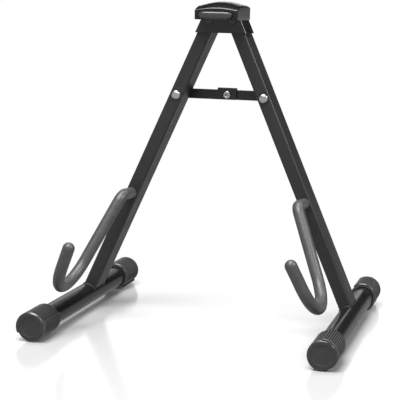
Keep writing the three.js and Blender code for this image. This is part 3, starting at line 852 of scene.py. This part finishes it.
def hook_sleeve(side, word):
    """Foam sleeve with a rounded tip and a slightly drawn-in mouth at the leg."""
    mouth = -LEG_FACE - 0.35
    body = spread_points(hook_route(mouth), 4.0)
    along = [0.0]
    for a, b in zip(body, body[1:]):
        along.append(along[-1] + (b - a).length)
    route = [Vector((0, mouth - distance, HOOK_ALONG)) for distance, _ in SLEEVE_MOUTH]
    radii = [radius for _, radius in SLEEVE_MOUTH]
    last_mouth = len(route) - 1
    mouth_length = 2.0
    route += [point for point, distance in zip(body, along) if distance > mouth_length]
    narrow = radii[-1]
    distance = mouth_length
    for a, b in zip(route[last_mouth:], route[last_mouth + 1:]):
        distance += (b - a).length
        radii.append(narrow + (SLEEVE_RADIUS - narrow) * min(1.0, distance / 14))
    tip = route[-1]
    direction = (tip - route[-2]).normalized()
    for i in range(1, 10):
        angle = math.radians(90 * i / 10)
        route.append(tip + direction * (SLEEVE_RADIUS * math.sin(angle)))
        radii.append(SLEEVE_RADIUS * math.cos(angle))
    inner = spread_points(hook_route(mouth, 1.0), 8.0)
    bore = swept(inner, [ROD_HOLE] * len(inner), SLEEVE_SIDES)
    rings = bore[::-1] + swept(route, radii, SLEEVE_SIDES)
    sleeve = mesh_from(*loft(rings, inner[-1], tip + direction * SLEEVE_RADIUS), leg_matrix(side))
    piece = finish_mesh(f"{word}_hook_foam", sleeve, HOOK_FOAM, f"{word}_leg",
                        [f"{word}_hook_sleeve"], 60)


def hook_rod(side, word):
    """Steel rod, with a thread where it passes out at the back of the leg."""
    rear = box_mm(f"{word}_hook_rod")[1].y - PLANE_Y
    root = THREAD_RADIUS - 0.4
    head = [(rear, THREAD_RADIUS - 0.6)]
    y = rear - 0.5
    while y > LEG_FACE + 0.6:
        head += [(y, THREAD_RADIUS), (y - THREAD_PITCH / 2, root)]
        y -= THREAD_PITCH
    head.append((LEG_FACE + 0.05, root))
    bar = spread_points(hook_route(LEG_FACE, 2.5), 6.0)
    route = [Vector((0, y, HOOK_ALONG)) for y, _ in head] + bar
    radii = [radius for _, radius in head] + [ROD_RADIUS] * len(bar)
    rod = mesh_from(*loft(swept(route, radii, 24)), leg_matrix(side))
    finish_mesh(f"{word}_hook_bar", rod, BLACK_OXIDE, f"{word}_leg",
                [f"{word}_hook_rod"], 50)


def hook_fasteners(side, word):
    """Washer and nut on the rod's thread, behind the leg."""
    place = leg_matrix(side) @ Matrix.Translation((0, 0, HOOK_ALONG))
    seat = LEG_FACE + GAP
    washer_top = seat + 1.5
    ring = mesh_from(*washer(seat, washer_top), place)
    finish_mesh(f"{word}_hook_seat", ring, NYLON, f"{word}_leg", [f"{word}_hook_washer"])
    nut = mesh_from(*hex_nut(NUT_RADIUS, HOLE, washer_top + GAP, washer_top + GAP + 5.0), place)
    finish_mesh(f"{word}_hook_hex_nut", nut, BLACK_OXIDE, f"{word}_leg",
                [f"{word}_hook_nut"], 25)


# ------------------------------------------------------------------ brace

LINK_HALF = 5.75
LINK_THICKNESS = 2.5
LINK_EDGE = 0.35
LEFT_PLATE_Y = LEG_FACE + GAP
RIGHT_PLATE_Y = LEFT_PLATE_Y + LINK_THICKNESS + GAP
BRACE_BACK_Y = RIGHT_PLATE_Y + LINK_THICKNESS + GAP
STOP_HALF = 11.5                               # half the width of the left link's folded stop tab
STOP_RISE = 2.3                                # how far the tab stands over the link
CENTRE_RIVET_HOLE = 3.1


def link_end(x, start):
    """Points of the half circle about a rivet at x, from the start angle in degrees."""
    angles = [math.radians(start + 180 * i / 16) for i in range(17)]
    return [(x + LINK_HALF * math.cos(angle), LINK_HALF * math.sin(angle)) for angle in angles]


def link_holes(rivet_x, place):
    """Tools for the hole of the rivet in the leg and for that of the centre rivet."""
    low, high = LEFT_PLATE_Y - 3, RIGHT_PLATE_Y + 6
    return [drill(HOLE, low, high, rivet_x, 0, place), drill(CENTRE_RIVET_HOLE, low, high, 0, 0, place)]


def left_link():
    """Its plate runs on past the centre rivet and carries the folded stop tab."""
    place = at_plane(0, BRACE_Z)
    top = LINK_HALF + STOP_RISE
    outline = [(STOP_HALF, -LINK_HALF + 1.5), (STOP_HALF, top), (-STOP_HALF, top), (-STOP_HALF, LINK_HALF)]
    outline += link_end(-BRACE_X, 90)
    outline.append((STOP_HALF - 1.5, -LINK_HALF))
    plate = mesh_from(*prism_y(outline, LEFT_PLATE_Y, LEFT_PLATE_Y + LINK_THICKNESS), place)
    bevel(plate, LINK_EDGE, 40, 3)
    foot = LINK_HALF + GAP
    outline = [(-STOP_HALF, foot), (STOP_HALF, foot), (STOP_HALF, top), (-STOP_HALF, top)]
    tab = mesh_from(*prism_y(outline, LEFT_PLATE_Y + 1.2, RIGHT_PLATE_Y + LINK_THICKNESS), place)
    bevel(tab, LINK_EDGE, 40, 3)
    plate = cut(plate, *link_holes(-BRACE_X, place))
    joined = bmesh.new()
    joined.from_mesh(plate)
    joined.from_mesh(tab)
    whole = bpy.data.meshes.new("left_link")
    joined.to_mesh(whole)
    joined.free()
    finish_mesh("left_brace_bar", whole, LINK_PAINT, "left_link", ["left_brace_link"], 30)


def right_link():
    place = at_plane(0, BRACE_Z)
    outline = link_end(BRACE_X, -90) + link_end(0, 90)
    plate = mesh_from(*prism_y(outline, RIGHT_PLATE_Y, RIGHT_PLATE_Y + LINK_THICKNESS), place)
    bevel(plate, LINK_EDGE, 40, 3)
    plate = cut(plate, *link_holes(BRACE_X, place))
    finish_mesh("right_brace_bar", plate, LINK_PAINT, "right_link", ["right_brace_link"], 30)


def centre_rivet():
    """Tubular rivet, its rolled edge standing round an open bore, with a domed tail."""
    front = LEFT_PLATE_Y - GAP
    head, shank = 4.6, 2.8
    bore = 1.7
    rolled = ((2.1, 1.25), (shank, 1.5), (3.8, 1.35), (4.4, 0.85), (head, 0.3))
    profile = [(0, front + 3.0), (bore, front + 3.0), (bore, front - 0.7)]
    profile += [(radius, front - height) for radius, height in rolled]
    profile += [(head, front), (shank, front), (shank, BRACE_BACK_Y)]
    tail = dome(head, 1.8, BRACE_BACK_Y, 1, shank, BRACE_BACK_Y)
    rivet = mesh_from(*lathe_y(profile + tail[:-2][::-1]), at_plane(0, BRACE_Z))
    finish_mesh("brace_centre_rivet_rolled", rivet, NICKEL, "left_link",
                ["brace_centre_rivet"])


def right_rivet_tail():
    """Tail of the right brace rivet and the ring between the right link and the leg."""
    place = at_plane(BRACE_X, BRACE_Z)
    start = LEFT_PLATE_Y + 0.2
    tail = mesh_from(*lathe_y(dome(RIVET_HEAD, TAIL_DOME, BRACE_BACK_Y, 1, RIVET_SHANK, start)), place)
    finish_mesh("right_brace_rivet_tail_domed", tail, NICKEL, "right_link",
                ["right_brace_rivet_tail"])
    spacer = mesh_from(*washer(start, RIGHT_PLATE_Y - GAP), place)
    finish_mesh("right_brace_spacer_ring", spacer, NYLON, "right_link", ["right_brace_washer"])


bracket()
head_pad()
bolster()
pivot_fasteners()
for side, word in SIDES:
    leg_tube(side, word)
    weld_bead(side, word)
    brace_rivet(side, word)
    foot_tube(side, word)
    for end in ("front", "rear"):
        end_cap(side, word, end)
    hook_sleeve(side, word)
    hook_rod(side, word)
    hook_fasteners(side, word)
left_link()
right_link()
centre_rivet()
right_rivet_tail()

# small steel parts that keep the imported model's shape and get a plated finish
KEPT_NODES = ("pad_screw_front", "pad_screw_rear", "left_pivot_spacer", "right_pivot_spacer",
              "left_brace_spacer", "right_brace_spacer")
for node in KEPT_NODES:
    item = frame["nodes"][node]
    item.data.materials.clear()
    item.data.materials.append(ZINC)

# ------------------------------------------------------------------ floor, light, camera


FLOOR_HALF = 1500
FADE_CENTRE = (0.0, -0.12, 0.0)                # metres, as are the two below
FADE_START = 0.26
FADE_END = 0.56


def stage_floor():
    """Pale polished floor under the stand that fades into the white surroundings."""
    corners = ((-1, -1), (1, -1), (1, 1), (-1, 1))
    mesh = mesh_from([(x * FLOOR_HALF, y * FLOOR_HALF, 0) for x, y in corners], [(0, 1, 2, 3)])
    n = Nodes("floor")
    distance = n.tree.nodes.new("ShaderNodeVectorMath")
    distance.operation = "DISTANCE"
    distance.inputs[1].default_value = FADE_CENTRE
    n.tree.links.new(n.place, distance.inputs[0])
    fade = n.spread(distance.outputs["Value"], 1.0, 0.0, FADE_START, FADE_END)
    n.put(Base_Color=(*grey(0.46), 1), Roughness=0.16, Specular_IOR_Level=1.0, Alpha=fade)
    mesh.materials.append(n.material)
    floor = bpy.data.objects.new("floor", mesh)
    bpy.context.scene.collection.objects.link(floor)
    floor.visible_glossy = False


def area_light(name, place, target, width, height, power):
    data = bpy.data.lights.new(name, "AREA")
    data.shape = "RECTANGLE"
    data.size = width
    data.size_y = height
    data.energy = power
    light = bpy.data.objects.new(name, data)
    light.location = place
    light.rotation_euler = (Vector(target) - Vector(place)).to_track_quat("-Z", "Y").to_euler()
    bpy.context.scene.collection.objects.link(light)


def world_light():
    """White to the eye. As light it is bright in front, dim behind and dark above the horizon at the back."""
    world = bpy.data.worlds.new("studio")
    bpy.context.scene.world = world
    world.use_nodes = True
    tree = world.node_tree
    links = tree.links
    background = tree.nodes["Background"]
    split = tree.nodes.new("ShaderNodeSeparateXYZ")
    links.new(tree.nodes.new("ShaderNodeTexCoord").outputs["Generated"], split.inputs[0])

    def ramp(value, stops):
        node = tree.nodes.new("ShaderNodeValToRGB")
        scaled = tree.nodes.new("ShaderNodeMapRange")
        scaled.inputs["From Min"].default_value = -1.0
        links.new(value, scaled.inputs["Value"])
        links.new(scaled.outputs["Result"], node.inputs["Fac"])
        elements = node.color_ramp.elements
        while len(elements) < len(stops):
            elements.new(0.5)
        for element, (place, level) in zip(elements, stops):
            element.position = (place + 1) / 2
            element.color = (level, level, level, 1)
        return node.outputs["Color"]

    # (height of the direction, level) from straight down to straight up
    rear_levels = ((-1, 0.4), (-0.45, 0.42), (-0.2, 0.42), (-0.04, 0.5), (0.02, 0.14), (0.08, 0.02),
                   (0.6, 0.03), (1, 0.3))
    front_levels = ((-1, 0.5), (-0.3, 0.62), (0.0, 0.6), (0.5, 0.4), (1, 0.5))
    rear = ramp(split.outputs["Z"], rear_levels)
    front = ramp(split.outputs["Z"], front_levels)
    behind = ramp(split.outputs["Y"], [(-0.5, 0), (0.45, 1)])
    blend = tree.nodes.new("ShaderNodeMix")
    blend.data_type = "RGBA"
    links.new(behind, blend.inputs["Factor"])
    links.new(front, blend.inputs["A"])
    links.new(rear, blend.inputs["B"])
    links.new(blend.outputs["Result"], background.inputs["Color"])
    plain = tree.nodes.new("ShaderNodeBackground")
    plain.inputs["Color"].default_value = (1, 1, 1, 1)
    path = tree.nodes.new("ShaderNodeLightPath")
    mix = tree.nodes.new("ShaderNodeMixShader")
    links.new(path.outputs["Is Camera Ray"], mix.inputs["Fac"])
    links.new(background.outputs[0], mix.inputs[1])
    links.new(plain.outputs[0], mix.inputs[2])
    links.new(mix.outputs[0], tree.nodes["World Output"].inputs["Surface"])


CAMERA_YAW = 0.26913                           # radians, to the left of straight back
CAMERA_PITCH = 0.15321                         # radians, downwards
CAMERA_ROLL = 0.02462                          # radians
CAMERA_PLACE = (368.24, PLANE_Y - 1424.53, 366.62)
LENS = 113.79


def camera():
    """Stands in front of the stand and to its right, about as high as its top, looking slightly down."""
    yaw, pitch, roll = CAMERA_YAW, CAMERA_PITCH, CAMERA_ROLL
    forward = Vector((-math.sin(yaw) * math.cos(pitch), math.cos(yaw) * math.cos(pitch), -math.sin(pitch)))
    right = Vector((math.cos(yaw), math.sin(yaw), 0))
    up = right.cross(forward)
    x_axis = right * math.cos(roll) + up * math.sin(roll)
    y_axis = up * math.cos(roll) - right * math.sin(roll)
    data = bpy.data.cameras.new("camera")
    data.lens = LENS
    data.sensor_width = 36.0
    data.clip_end = 50.0
    item = bpy.data.objects.new("camera", data)
    turned = Matrix((x_axis, y_axis, -forward)).transposed().to_4x4()
    item.matrix_world = Matrix.Translation(Vector(CAMERA_PLACE) * MM) @ turned
    bpy.context.scene.collection.objects.link(item)
    bpy.context.scene.camera = item


stage_floor()
world_light()
# name, place, target, width, height, watts
area_light("overhead", (-0.2, -1.0, 2.3), (0, 0.1, 0.1), 1.7, 1.5, 110)
area_light("top_rear", (-0.1, 0.55, 2.6), (0, 0.15, 0.0), 1.4, 0.5, 34)
area_light("back_panel", (-0.8, 2.4, 0.74), (0, 0, 0.1), 1.9, 0.72, 5.2)
area_light("right_strip", (1.75, -0.4, 1.35), (0, 0, 0.3), 0.6, 0.6, 26)
area_light("edge_light", (1.15, 1.45, 1.75), (0, 0, 0.35), 0.4, 0.4, 6)
camera()
bpy.context.scene.view_settings.view_transform = "Standard"
